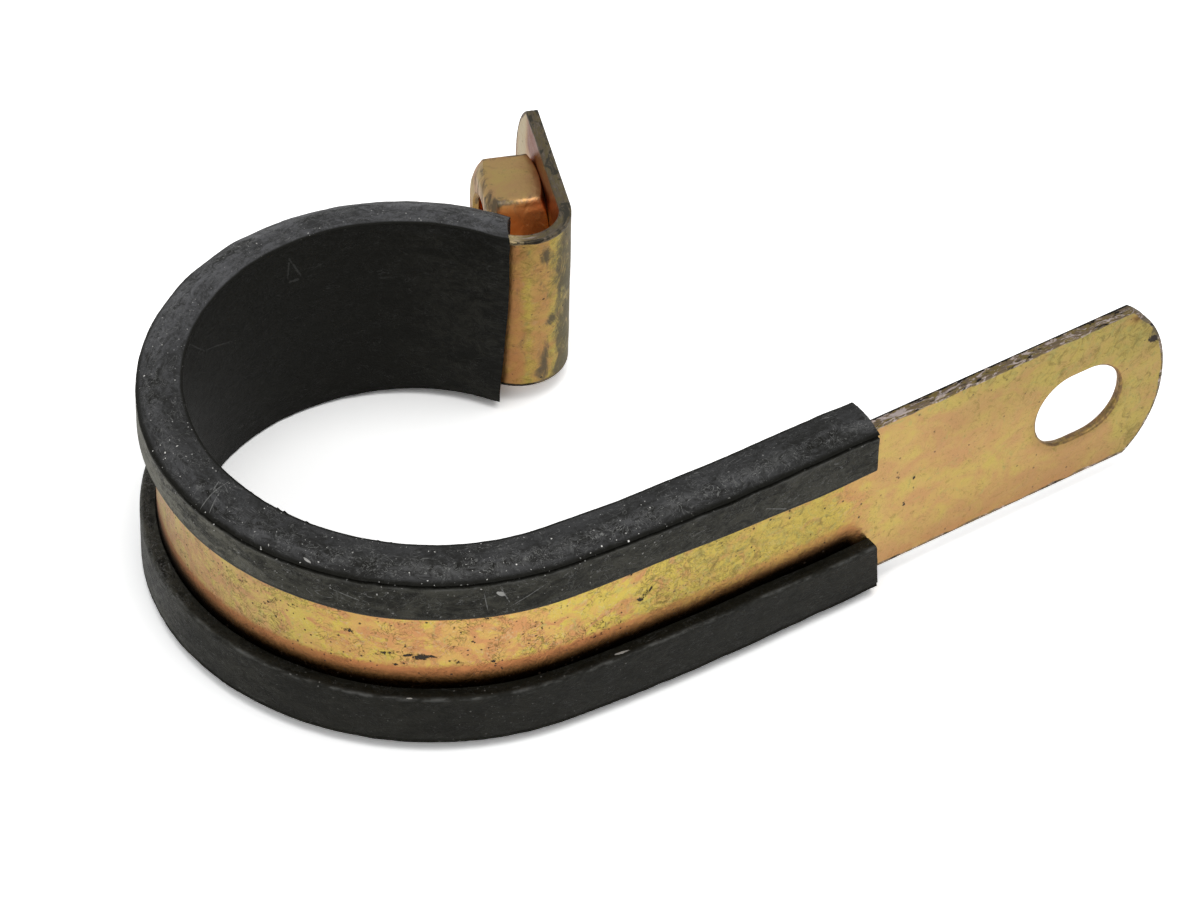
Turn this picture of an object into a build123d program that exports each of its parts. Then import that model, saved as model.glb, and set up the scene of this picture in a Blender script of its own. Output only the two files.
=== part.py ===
from build123d import *
import math
import os

# Rubber-lined P clip, open as it comes off the shelf: one folded steel strip with a long slotted tab
# and a short ear, a moulded rubber liner round the loop, and a captive hex nut on the ear.
# Millimetres. The origin is on the axis of the loop's main arc, halfway across the strip's width.
# +Z runs along that axis and +X along the tab, out of the loop.

# Steel strip
strip_width = 15.0
strip_thickness = 1.0
tab_length = 38.8          # from the tab's tip to where the strip starts to curve
shoulder_radius = 173.5    # liner's inside face on the gentle curve next to the tab
shoulder_turn = 5.7        # degrees, like the other turns
bore_radius = 18.9         # liner's inside face round the main arc of the loop
main_turn = 160.0
throat_radius = 15.8       # liner's inside face where the loop closes in towards the ear
throat_turn = 73.0
bend_radius = 3.1          # inside radius of the sharp bend that throws the ear outwards
ear_turn = 127.0
ear_length = 15.6          # from the sharp bend to the ear's tip
end_radius = 9.5           # both ends of the strip are punched to this radius
slot_inset = 8.4           # from the tab's tip to the middle of its slot
slot_length = 8.2
slot_width = 6.6
nut_inset = 8.7            # from the ear's tip to the middle of its hole, and so of the nut
bolt_hole = 6.6            # round hole in the ear, under the nut
end_trim = 1.0             # spare strip beyond each tip, cut off by the end punch

# Rubber liner
pad_thickness = 1.3        # rubber between the steel and the pipe
lip_thickness = 1.3        # rubber folded over the outside of the steel
rim_thickness = 1.48       # rubber beyond each edge of the steel, up to the rim's crown
upper_lip = 4.5            # from the upper crown to the edge of the upper lip
lower_lip = 5.4            # from the lower crown to the edge of the lower lip
crown_inset = 1.4          # from the inside face to the highest line of a rim
inner_drop = 0.35          # how far a rim falls from its crown to the inside face
outer_drop = 0.95          # and to the outside face
crease_depth = 0.3         # fine groove where each rim meets its lip
crease_height = 0.35
lip_rounding = 0.4         # on the free edge of each lip
bare_tab = 29.1            # from the tab's tip to the liner
liner_overrun = 6.5        # degrees of the sharp bend that the liner's far end follows
liner_clearance = 0.02     # between rubber and steel, all round the groove

# Hex nut, M6
nut_flats = 10.0
nut_height = 4.7
thread_bore = 5.0          # diameter over the thread's crests
thread_lead = 0.5          # countersink at each mouth of the bore
face_radius = 4.4          # flat ring left by the corner chamfers
corner_chamfer = 30.0      # degrees from the face

# The strip's outer face is the line that everything follows.
face_depth = pad_thickness + liner_clearance + strip_thickness
main_face = bore_radius + face_depth
throat_face = throat_radius + face_depth
shoulder_face = shoulder_radius + face_depth
shoulder_sine = math.sin(math.radians(shoulder_turn))
shoulder_cosine = math.cos(math.radians(shoulder_turn))
shoulder_x = (shoulder_face - main_face) * shoulder_sine
tab_y = -shoulder_face + (shoulder_face - main_face) * shoulder_cosine
tab_tip_x = shoulder_x + tab_length


def loop_line(outward, start_x):
    """Draw tab, shoulder, main arc and throat in plan, a distance outward of the steel's outer face."""
    tab = Line((start_x, tab_y - outward), (shoulder_x, tab_y - outward))
    shoulder = JernArc(tab @ 1, tab % 1, shoulder_face + outward, -shoulder_turn)
    main = JernArc(shoulder @ 1, shoulder % 1, main_face + outward, -main_turn)
    throat = JernArc(main @ 1, main % 1, throat_face + outward, -throat_turn)
    return tab, throat


def strip_line(outward):
    """Draw the whole strip's line in plan, from the blank's end at the tab to its end at the ear."""
    tab, throat = loop_line(outward, tab_tip_x + end_trim)
    bend = JernArc(throat @ 1, throat % 1, bend_radius - outward, ear_turn)
    ear = Line(bend @ 1, (bend @ 1) + (bend % 1) * (ear_length + end_trim))
    return tab @ 0, ear @ 1, ear % 1


# Steel strip: bent from one blank, its ends rounded and pierced by the same punch.
with BuildPart() as strip:
    with BuildSketch():
        with BuildLine():
            tab_corner, ear_corner, ear_direction = strip_line(0.0)
            tab_inner_corner, ear_inner_corner, _ = strip_line(-strip_thickness)
            Line(tab_corner, tab_inner_corner)
            Line(ear_corner, ear_inner_corner)
        make_face()
    extrude(amount=strip_width / 2, both=True)

    ear_tip = ear_corner - ear_direction * end_trim
    ear_outward = Vector(0, 0, 1).cross(ear_direction)
    tab_end = Plane(origin=(tab_tip_x, tab_y, 0), x_dir=(1, 0, 0), z_dir=(0, -1, 0))
    ear_end = Plane(origin=ear_tip, x_dir=ear_direction, z_dir=ear_outward)

    with BuildSketch(tab_end, ear_end):
        with Locations(((end_trim - end_radius) / 2, 0)):
            Rectangle(end_radius + end_trim, strip_width + 2 * end_trim)
        with Locations((-end_radius, 0)):
            Circle(end_radius, mode=Mode.SUBTRACT)
    extrude(amount=2 * strip_thickness, both=True, mode=Mode.SUBTRACT)

    with BuildSketch(tab_end):
        with Locations((-slot_inset, 0)):
            SlotOverall(slot_length, slot_width)
    extrude(amount=2 * strip_thickness, both=True, mode=Mode.SUBTRACT)

    with BuildSketch(ear_end):
        with Locations((-nut_inset, 0)):
            Circle(bolt_hole / 2)
    extrude(amount=2 * strip_thickness, both=True, mode=Mode.SUBTRACT)
strip.part.label = "steel_strip"

# Rubber liner: one channel section carried round the loop. The section's x runs outwards from the
# steel's outer face and its y across the strip.
groove_half = strip_width / 2 + liner_clearance
groove_floor = -strip_thickness - liner_clearance
inside_face = groove_floor - pad_thickness
lip_inside = liner_clearance
lip_outside = lip_inside + lip_thickness
crown = groove_half + rim_thickness
crown_x = inside_face + crown_inset
crease_y = crown - outer_drop - crease_height / 2
liner_start = tab_tip_x - bare_tab

with BuildPart() as liner:
    with BuildLine() as route:
        _, liner_throat = loop_line(0.0, liner_start)
        JernArc(liner_throat @ 1, liner_throat % 1, bend_radius, liner_overrun)
    with BuildSketch(Plane(origin=(liner_start, tab_y, 0), x_dir=(0, -1, 0), z_dir=(-1, 0, 0))) as section:
        with BuildLine():
            Line((inside_face, inner_drop - crown), (inside_face, crown - inner_drop))
            ThreePointArc((inside_face, crown - inner_drop), (crown_x, crown), (lip_outside, crown - outer_drop))
            Polyline(
                (lip_outside, crown - outer_drop),
                (lip_outside - crease_depth, crease_y),
                (lip_outside, crease_y - crease_height / 2),
                (lip_outside, crown - upper_lip),
                (lip_inside, crown - upper_lip),
                (lip_inside, groove_half),
                (groove_floor, groove_half),
                (groove_floor, -groove_half),
                (lip_inside, -groove_half),
                (lip_inside, lower_lip - crown),
                (lip_outside, lower_lip - crown),
                (lip_outside, crease_height / 2 - crease_y),
                (lip_outside - crease_depth, -crease_y),
                (lip_outside, outer_drop - crown),
            )
            ThreePointArc((lip_outside, outer_drop - crown), (crown_x, -crown), (inside_face, inner_drop - crown))
        make_face()
        lip_edges = section.vertices().filter_by_position(Axis.X, lip_outside, lip_outside)
        fillet(lip_edges.filter_by_position(Axis.Y, lower_lip - crown, crown - upper_lip), lip_rounding)
    sweep(path=route.wires()[0])
liner.part.label = "rubber_liner"

# Hex nut: seated on the ear's outer face over the bolt hole, with one flat facing up.
nut_seat = Plane(origin=ear_end.from_local_coords((-nut_inset, 0, 0)), x_dir=ear_direction, z_dir=ear_outward)
nut_side = Plane(origin=nut_seat.origin, x_dir=ear_direction, z_dir=(0, 0, 1))
corner_radius = nut_flats / math.sqrt(3)
chamfer_rise = (corner_radius - face_radius) * math.tan(math.radians(corner_chamfer))

with BuildPart() as nut:
    with BuildSketch(nut_seat):
        RegularPolygon(nut_flats / 2, 6, major_radius=False)
        Circle(thread_bore / 2, mode=Mode.SUBTRACT)
    extrude(amount=nut_height)
    chamfer(nut.edges().filter_by(GeomType.CIRCLE), length=thread_lead)
    with BuildSketch(nut_side):
        with BuildLine():
            Polyline(
                (0, 0),
                (face_radius, 0),
                (corner_radius, chamfer_rise),
                (corner_radius, nut_height - chamfer_rise),
                (face_radius, nut_height),
                (0, nut_height),
                close=True,
            )
        make_face()
    revolve(axis=Axis(nut_seat.origin, nut_seat.z_dir), mode=Mode.INTERSECT)
nut.part.label = "hex_nut"

os.makedirs("parts", exist_ok=True)
export_step(strip.part, "parts/steel_strip.step")
export_step(liner.part, "parts/rubber_liner.step")
export_step(nut.part, "parts/hex_nut.step")
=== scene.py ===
import math
import bmesh
import bpy
import numpy as np
from mathutils import Matrix, Vector


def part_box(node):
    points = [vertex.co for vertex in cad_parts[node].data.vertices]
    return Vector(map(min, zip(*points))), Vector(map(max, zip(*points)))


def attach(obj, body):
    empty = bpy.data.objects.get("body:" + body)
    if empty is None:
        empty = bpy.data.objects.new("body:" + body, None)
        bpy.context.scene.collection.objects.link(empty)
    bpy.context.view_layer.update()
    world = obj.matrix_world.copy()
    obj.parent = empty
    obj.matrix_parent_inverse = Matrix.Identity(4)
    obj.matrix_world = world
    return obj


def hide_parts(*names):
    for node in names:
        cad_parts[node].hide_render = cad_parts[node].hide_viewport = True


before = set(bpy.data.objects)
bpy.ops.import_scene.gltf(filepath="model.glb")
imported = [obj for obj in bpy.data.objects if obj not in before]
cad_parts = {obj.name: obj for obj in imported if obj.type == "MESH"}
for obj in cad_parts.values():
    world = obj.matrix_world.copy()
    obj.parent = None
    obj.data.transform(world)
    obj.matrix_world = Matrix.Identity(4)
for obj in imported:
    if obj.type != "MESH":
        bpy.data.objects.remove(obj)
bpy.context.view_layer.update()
print("stage: frame loaded")

# Every shape below is worked out in millimetres and put into its mesh in metres.
mm = 0.001
steelLow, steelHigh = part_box("steel_strip")

# The clip's own line: the steel's outer face in plan, from the tab's tip to the ear's tip.
clip = {
    "stripWidth": 15.0,
    "stripThickness": 1.0,
    "tabLength": 38.8,
    "shoulderRadius": 175.82,
    "shoulderTurn": 5.7,
    "mainRadius": 21.22,
    "mainTurn": 160.0,
    "throatRadius": 18.12,
    "throatTurn": 73.0,
    "bendRadius": 3.1,
    "bendTurn": 127.0,
    "earLength": 15.6,
}
halfWidth = clip["stripWidth"] / 2
thickness = clip["stripThickness"]
runs = [(clip["tabLength"], 0.0)]
for name, sense in (("shoulder", -1), ("main", -1), ("throat", -1), ("bend", 1)):
    turn = math.radians(clip[name + "Turn"])
    runs.append((clip[name + "Radius"] * turn, sense * turn))
runs.append((clip["earLength"], 0.0))
lineLength = sum(length for length, turn in runs)


def lineAt(along):
    # Place and outward normal at a length along the line. Each run starts where the one before it ends,
    # and its heading turns evenly with length: a step is the integral of (cos heading, sin heading).
    place = np.array([steelHigh.x, steelLow.y]) / mm
    heading = math.pi
    start = 0.0
    spots = np.zeros(along.shape + (2,))
    outward = np.zeros(along.shape + (2,))
    for length, turn in runs:
        reached = (along >= start)[..., None] | (start == 0.0)
        travelled = np.append(along.ravel() - start, length)
        headings = heading + turn / length * travelled
        if turn:
            steps = np.stack((np.sin(headings) - math.sin(heading),
                              math.cos(heading) - np.cos(headings)), -1) * length / turn
        else:
            steps = travelled[:, None] * np.array([math.cos(heading), math.sin(heading)])
        normals = np.stack((-np.sin(headings), np.cos(headings)), -1)
        spots = np.where(reached, place + steps[:-1].reshape(spots.shape), spots)
        outward = np.where(reached, normals[:-1].reshape(spots.shape), outward)
        place = place + steps[-1]
        heading += turn
        start += length
    return spots, outward


def bendSheet(sheet):
    # Sheet coordinates are (along the line, across the strip, outward from the steel's outer face).
    # The bent point is the line's place plus its normal times outward; across is the row's Z.
    spots, outward = lineAt(sheet[..., 0])
    plan = spots + outward * sheet[..., 2:3]
    return np.concatenate((plan, sheet[..., 1:2]), -1) * mm


def ripples(along, across, wavelength, seed, waves=14):
    # A sum of sine waves in random directions, each near the wavelength, scaled to about -1 to 1.
    random = np.random.default_rng(seed)
    total = np.zeros(np.broadcast(along, across).shape)
    for direction, phase, stretch in random.uniform((0, 0, 0.6), (math.tau, math.tau, 1.6), (waves, 3)):
        distance = along * math.cos(direction) + across * math.sin(direction)
        total += np.sin(distance * math.tau / (wavelength * stretch) + phase)
    return total / math.sqrt(waves)


def fade(value, start, end):
    # Smooth step from 0 at start to 1 at end.
    share = np.clip((value - start) / (end - start), 0, 1)
    return share * share * (3 - 2 * share)


def fall(value, start, end):
    # The same step downwards: 1 at start and 0 at end.
    return 1 - fade(value, start, end)


def span(value, riseStart, riseEnd, fallStart, fallEnd):
    # 1 between a rise and a fall, and 0 outside them.
    return fade(value, riseStart, riseEnd) * fall(value, fallStart, fallEnd)


def bell(offset, reach):
    # The exponential of minus the square of offset over reach.
    return np.exp(-(offset / reach) ** 2)


def spot(along, across, centre, reach):
    # A bell round a centre, with a reach along and a reach across.
    return bell(np.hypot((along - centre[0]) / reach[0], (across - centre[1]) / reach[1]), 1.0)


def gridFaces(rows, columns, first=0, closeRows=False, closeColumns=False):
    # Quads of a grid of rows x columns points that is numbered row by row from first.
    row = np.arange(rows if closeRows else rows - 1)[:, None]
    column = np.arange(columns if closeColumns else columns - 1)[None, :]
    nextRow = (row + 1) % rows
    nextColumn = (column + 1) % columns
    corners = (row * columns + column, row * columns + nextColumn,
               nextRow * columns + nextColumn, nextRow * columns + column)
    return np.stack([np.broadcast_to(c, (row.size, column.size)) for c in corners], -1).reshape(-1, 4) + first


def addPiece(name, points, faces, layers, sharpAngle, cadNode, material):
    # A welded, closed mesh with outward faces that stands for a CAD node and rides on the root body.
    mesh = bpy.data.meshes.new(name)
    mesh.from_pydata(points.tolist(), [], faces)
    for layer, values in layers.items():
        if values.ndim == 2:
            mesh.attributes.new(layer, "FLOAT_VECTOR", "POINT").data.foreach_set("vector", values.ravel())
        else:
            mesh.attributes.new(layer, "FLOAT", "POINT").data.foreach_set("value", values.ravel())
    shape = bmesh.new()
    shape.from_mesh(mesh)
    bmesh.ops.remove_doubles(shape, verts=shape.verts, dist=0.002 * mm)
    bmesh.ops.recalc_face_normals(shape, faces=shape.faces)
    openEdges = sum(1 for edge in shape.edges if len(edge.link_faces) != 2)
    shape.to_mesh(mesh)
    shape.free()
    mesh.shade_smooth()
    mesh.set_sharp_from_angle(angle=math.radians(sharpAngle))
    mesh.materials.append(material)
    piece = bpy.data.objects.new(name, mesh)
    bpy.context.scene.collection.objects.link(piece)
    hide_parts(cadNode)
    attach(piece, "root")
    triangles = sum(len(face.vertices) - 2 for face in mesh.polygons)
    print(f"stage: {name} has {triangles} triangles and {openEdges} open edges")


class Nodes:
    # A short way to write a material's nodes: each call adds one node and returns its output.
    def __init__(self, name):
        self.material = bpy.data.materials.new(name)
        self.material.use_nodes = True
        self.tree = self.material.node_tree
        self.shader = self.tree.nodes["Principled BSDF"]

    def put(self, socket, value):
        if isinstance(value, bpy.types.NodeSocket):
            self.tree.links.new(value, socket)
        else:
            socket.default_value = value

    def add(self, kind, inputs, output=0, **settings):
        node = self.tree.nodes.new("ShaderNode" + kind)
        for setting, value in settings.items():
            setattr(node, setting, value)
        for socket, value in inputs.items():
            self.put(node.inputs[socket], value)
        return node.outputs[output]

    def attribute(self, name, output="Fac"):
        return self.add("Attribute", {}, output, attribute_name=name)

    def attributes(self, names):
        return [self.attribute(name) for name in names.split()]

    def stretched(self, vector, scale):
        return self.add("Mapping", {"Vector": vector, "Scale": scale})

    def noise(self, vector, size, detail=3.0, roughness=0.5, distortion=0.0, output="Fac"):
        return self.add("TexNoise", {"Vector": vector, "Scale": 1 / size, "Detail": detail,
                                     "Roughness": roughness, "Distortion": distortion}, output)

    def ramp(self, factor, low, high, start=0.0, end=1.0):
        return self.add("MapRange", {"Value": factor, "From Min": low, "From Max": high,
                                     "To Min": start, "To Max": end}, interpolation_type="SMOOTHSTEP")

    def maths(self, operation, first, second=0.0, third=0.0):
        return self.add("Math", {0: first, 1: second, 2: third}, operation=operation)

    def linear(self, value, slope, base):
        # value times slope, plus base
        return self.maths("MULTIPLY_ADD", value, slope, base)

    def times(self, first, second):
        return self.maths("MULTIPLY", first, second)

    def either(self, first, second):
        return self.maths("MAXIMUM", first, second)

    def blend(self, factor, first, second):
        node = self.tree.nodes.new("ShaderNodeMix")
        node.data_type = "RGBA"
        self.put(node.inputs["Factor"], factor)
        for socket, value in ((node.inputs[6], first), (node.inputs[7], second)):
            self.put(socket, value if isinstance(value, bpy.types.NodeSocket) else (*value, 1.0))
        return node.outputs[2]

    def dots(self, vector, spacing, radius, share, seed):
        # Round specks: in each cell of a Voronoi pattern, a dot of up to the radius round the cell's point.
        # The cell's random colour decides whether it has a dot at all, and how large.
        moved = self.add("VectorMath", {0: vector, 1: (seed * 7.3, seed * 3.1, seed * 5.7)}, operation="ADD")
        cell = self.tree.nodes.new("ShaderNodeTexVoronoi")
        cell.voronoi_dimensions = "2D"
        self.put(cell.inputs["Vector"], moved)
        self.put(cell.inputs["Scale"], 1 / spacing)
        chance = self.add("SeparateColor", {"Color": cell.outputs["Color"]}, 0)
        size = self.ramp(chance, 1 - share, 1.0 - share * 0.3, 0.0, radius / spacing)
        return self.ramp(self.maths("SUBTRACT", size, cell.outputs["Distance"]), 0.0, 0.03)

    def wandered(self, vector, reach):
        # The vector moved about a little, so that round specks come out ragged
        moves = self.noise(vector, 0.16, 2.0, output="Color")
        return self.add("VectorMath", {0: moves, 1: (reach,) * 3, 2: vector}, operation="MULTIPLY_ADD")

    def strands(self, vector, size, width, distortion):
        # Thin curly lines, where a distorted noise passes through its middle value.
        tangle = self.noise(vector, size, 3.0, 0.55, distortion)
        offMiddle = self.maths("ABSOLUTE", self.maths("SUBTRACT", tangle, 0.5))
        return self.ramp(offMiddle, 0.0, width, 1.0, 0.0)

    def marks(self, vector, spots, ragged):
        # 1 inside any of the spots, each an ellipse of (along, across, half length, half width, slope), with
        # a ragged outline. A spot lies on the outer face only, so it fades out half a millimetre behind it.
        nearest = self.maths("ADD", 9.0)
        for along, across, halfLength, halfBreadth, slope in spots:
            local = self.add("Mapping", {"Vector": vector, "Location": (along, across, 0),
                                         "Rotation": (0, 0, math.radians(slope)),
                                         "Scale": (halfLength, halfBreadth, 0.5)}, vector_type="TEXTURE")
            reach = self.add("VectorMath", {0: local}, 1, operation="LENGTH")
            nearest = self.maths("MINIMUM", nearest, reach)
        nearest = self.linear(ragged, 2.6, self.maths("SUBTRACT", nearest, 1.3))
        return self.ramp(nearest, 1.05, 0.85)

    def bump(self, height, distance, strength, normal=None):
        inputs = {"Height": height, "Distance": distance * mm, "Strength": strength}
        if normal is not None:
            inputs["Normal"] = normal
        return self.add("Bump", inputs)

    def surface(self, inputs):
        for name, value in inputs.items():
            self.put(self.shader.inputs[name], value)
        return self.material


# Rubber liner: a channel section carried round the loop. The section's x is outward from the steel's
# outer face and its y across the strip.
liner = {
    "start": 29.1,             # along the line from the tab's tip
    "overrun": 6.5,            # degrees of the sharp bend
    "clearance": 0.02,
    "pad": 1.3,
    "lip": 1.3,
    "rim": 1.48,
    "upperLip": 4.5,
    "lowerLip": 5.4,
    "innerDrop": 0.10,
    "crownShare": 0.62,        # of the way in from the lip's face, where the rim's round becomes flat
    "outerDrop": 0.95,
    "creaseDepth": 0.3,
    "lowCreaseDepth": 0.1,
    "creaseHeight": 0.35,
    "farLift": 0.75,           # how much thinner the lower rim gets towards the far end
    "lipRounding": 0.4,
    "tabCutLean": (0.54, 0.30),  # how far the lower half of each cut leans out along the clip
    "farCutLean": (0.22, 0.35),
    "cutWave": 0.012,
    "lipWave": 0.04,
    "rimWave": 0.03,
    "creaseWave": (0.05, 0.02),
    "skinWave": (0.018, 0.008),
    "rowStep": 0.36,
}
# Nubs of flash on the inner top edge, as (along, height)
nubs = [
    (77.4, 0.10), (79.6, 0.16), (80.3, 0.12), (83.3, 0.14), (87.5, 0.10), (90.2, 0.08), (71.0, 0.10),
    (69.9, 0.06),
]
nubReach = (0.07, 0.12)        # of each nub along the edge and away from it
grooveHalf = halfWidth + liner["clearance"]
grooveFloor = -thickness - liner["clearance"]
insideFace = grooveFloor - liner["pad"]
lipInside = liner["clearance"]
lipOutside = lipInside + liner["lip"]
crown = grooveHalf + liner["rim"]
rimFoot = crown - liner["outerDrop"]


def lipGrowth(along):
    # How much deeper the upper lip is than its plain size: deep at the tab, shallow at the back of the loop
    deeper = 0.42 * fall(along, 30, 50) + 0.16 * span(along, 50, 58, 70, 78)
    return deeper - 0.45 * span(along, 76, 92, 112, 122)


def halfSection(lipHeight, creaseDepth):
    # Upper half of the section: its outer skin from the lip's edge over the rim to the middle of the pad,
    # the matching points of the groove's skin, and the lip's free edge between the two.
    lipEnd = crown - lipHeight
    roundTop = lipEnd + liner["lipRounding"] + 0.05
    creaseLow = rimFoot - liner["creaseHeight"]
    lipFace = np.linspace((lipOutside, roundTop), (lipOutside, creaseLow), 12)[:-1]
    creaseShare = np.linspace(0, 1, 7)
    creaseOut = lipOutside - creaseDepth * np.sin(np.pi * creaseShare) ** 0.8
    crease = np.stack((creaseOut, creaseLow + liner["creaseHeight"] * creaseShare), -1)[:-1]
    # The rim falls from its flat top to its foot as a power of the distance out, and dips a little inwards
    innerEdge = (insideFace, crown - liner["innerDrop"])
    inward = np.linspace(0, 1, 25) ** 1.15
    outerFall = liner["outerDrop"] * np.clip(1 - inward / liner["crownShare"], 0, 1) ** 2.2
    innerFall = liner["innerDrop"] * np.clip((inward - 0.80) / 0.20, 0, 1) ** 2
    rim = np.stack((lipOutside + (insideFace - lipOutside) * inward, crown - outerFall - innerFall), -1)[:-1]
    padShare = np.linspace(0, 1, 19)[:, None] ** 1.25
    pad = np.array(innerEdge) + (np.array([insideFace, 0.0]) - innerEdge) * padShare
    outer = np.concatenate((lipFace, crease, rim, pad))
    flangeCount = len(lipFace) + len(crease) + 1
    flange = np.linspace((lipInside, lipEnd + 0.12), (lipInside, grooveHalf), flangeCount)[:-1]
    web = np.linspace((lipInside, grooveHalf), (grooveFloor, grooveHalf), len(rim) + 1)[:-1]
    floor = np.array([grooveFloor, grooveHalf]) + (0.0, -grooveHalf) * padShare
    groove = np.concatenate((flange, web, floor))
    quarter = np.linspace(0, -math.pi / 2, 7)[1:]
    rounded = np.stack((np.cos(quarter), np.sin(quarter)), -1) * liner["lipRounding"]
    roundCentre = lipOutside - liner["lipRounding"]
    underside = np.linspace((roundCentre, lipEnd), (lipInside + 0.1, lipEnd), 4)[1:]
    freeEdge = np.concatenate((rounded + (roundCentre, roundTop - 0.05), underside))
    return outer, groove, freeEdge


# Marks on the liner, as (along, way round the section, half length, half width, slope in degrees)
scratches = [
    (85.2, 5.0, 1.7, 0.045, 84), (84.5, 4.6, 1.2, 0.035, 70), (85.7, 5.9, 0.7, 0.05, 60),
    (38.2, 0.25, 1.7, 0.05, 24), (61.4, 1.65, 0.8, 0.05, 66), (59.6, 1.25, 1.5, 0.04, -28),
    (62.8, 1.45, 0.9, 0.04, 80), (72.5, 1.35, 1.0, 0.04, 14),
    (119.7, 9.89, 1.05, 0.10, 95), (120.4, 9.94, 1.25, 0.10, 61), (120.3, 11.25, 0.70, 0.12, 4),
    (105.8, 9.3, 3.0, 0.06, 43), (110.7, 12.6, 3.0, 0.06, 25),
]
nicks = [
    (61.7, 1.85, 0.34, 0.15, 32), (75.6, 4.0, 0.32, 0.09, 20), (51.7, 33.9, 0.62, 0.13, 6),
    (68.1, 33.6, 0.22, 0.06, 0),
]


def rubberMaterial():
    look = {
        "deep": (0.0046, 0.0044, 0.0022),
        "warmGrey": (0.172, 0.167, 0.132),
        "skyReflectionGrey": (0.165, 0.165, 0.175),
        "greyShare": 0.625,
        "scuff": (0.25, 0.25, 0.24),
        "dust": (0.90, 0.88, 0.84),
    }
    n = Nodes("mouldedRubber")
    skin = n.attribute("skin", "Vector")
    wear, arris, level, dust, coolness = n.attributes("rimWear arris level dust coolness")
    along = n.stretched(skin, (0.35, 1.0, 1.0))
    cloudy = n.noise(along, 2.2, 5.0, 0.62, 1.2)
    haze = n.noise(n.stretched(skin, (0.6, 1.0, 1.0)), 0.85, 7.0, 0.74, 1.6)
    grain = n.noise(skin, 0.28, 4.0, 0.70, 0.8)
    # Greyness: each face has its own level, which is painted light and shade, broken by cloudy patches, haze
    # and a fine grain. The crown of the rim, inside its worn band, is smoother.
    texture = n.linear(haze, 2.2, n.linear(cloudy, 1.5, n.times(grain, 0.8)))
    patchwork = n.ramp(texture, 1.85, 2.70, 0.10, 1.90)
    patchwork = n.linear(n.maths("SUBTRACT", patchwork, 1.0), n.attribute("unevenness"), 1.0)
    greyness = n.times(n.times(level, look["greyShare"]), patchwork)
    # Scuffs in a band on the rim, curly scratches, and a light line of wear and painted highlight along each
    # arris
    patchy = n.ramp(n.noise(along, 1.6, 4.0, 0.6), 0.40, 0.60, 0.25, 1.0)
    scuffed = n.times(n.times(wear, patchy), n.ramp(haze, 0.36, 0.60))
    curlPatches = n.linear(wear, 0.14, n.noise(skin, 1.4, 3.0))
    curls = n.times(n.strands(skin, 1.10, 0.030, 2.2), n.ramp(curlPatches, 0.44, 0.56))
    hairs = n.times(n.strands(along, 1.1, 0.014, 1.8), n.ramp(n.noise(skin, 2.0, 2.0), 0.44, 0.58))
    scratched = n.either(n.times(curls, n.linear(wear, 1.1, 0.30)), n.times(hairs, 0.8))
    arrisWearAndHighlight = n.times(arris, n.ramp(n.noise(along, 0.9, 5.0, 0.72), 0.42, 0.62, 0.08, 1.0))
    cut = n.marks(skin, scratches, n.noise(skin, 0.25, 3.0))
    light = n.either(n.times(scuffed, 0.20), n.times(scratched, 0.66))
    light = n.either(light, n.times(cut, 0.60))
    # Painted reflection: the rim's top is a cooler, bluer grey, as if it mirrored the sky above
    grey = n.blend(coolness, look["warmGrey"], look["skyReflectionGrey"])
    colour = n.blend(greyness, look["deep"], grey)
    # Faces painted darker show their marks less
    light = n.either(n.times(light, n.ramp(level, 0.03, 0.26, 0.25, 1.0)), n.times(arrisWearAndHighlight, 0.36))
    colour = n.blend(light, colour, look["scuff"])
    # Painted shade: the rubber turns deep black along the inner edge and in the crease
    shadowed = n.ramp(n.linear(haze, 0.9, n.attribute("lineDark")), 0.62, 1.15)
    colour = n.blend(shadowed, colour, look["deep"])
    wander = n.wandered(skin, 0.2)
    grit = n.ramp(n.noise(skin, 2.2, 3.0), 0.42, 0.58, 0.15, 1.0)
    specks = n.dots(wander, 1.10, 0.078, 0.30, 3)
    specks = n.either(specks, n.times(n.dots(wander, 0.46, 0.050, 0.30, 4), 0.75))
    dusty = n.times(n.times(specks, grit), dust)
    dusty = n.either(dusty, n.times(n.marks(skin, nicks, haze), 0.42))
    colour = n.blend(dusty, colour, look["dust"])
    height = n.linear(haze, 0.9, n.times(grain, 0.5))
    height = n.linear(n.either(scratched, cut), -0.5, height)
    height = n.linear(dusty, 0.5, height)
    return n.surface({"Base Color": colour, "Roughness": n.linear(haze, -0.30, 0.62),
                      "Specular IOR Level": 0.13, "Normal": n.bump(height, 0.10, 0.8)})


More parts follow.
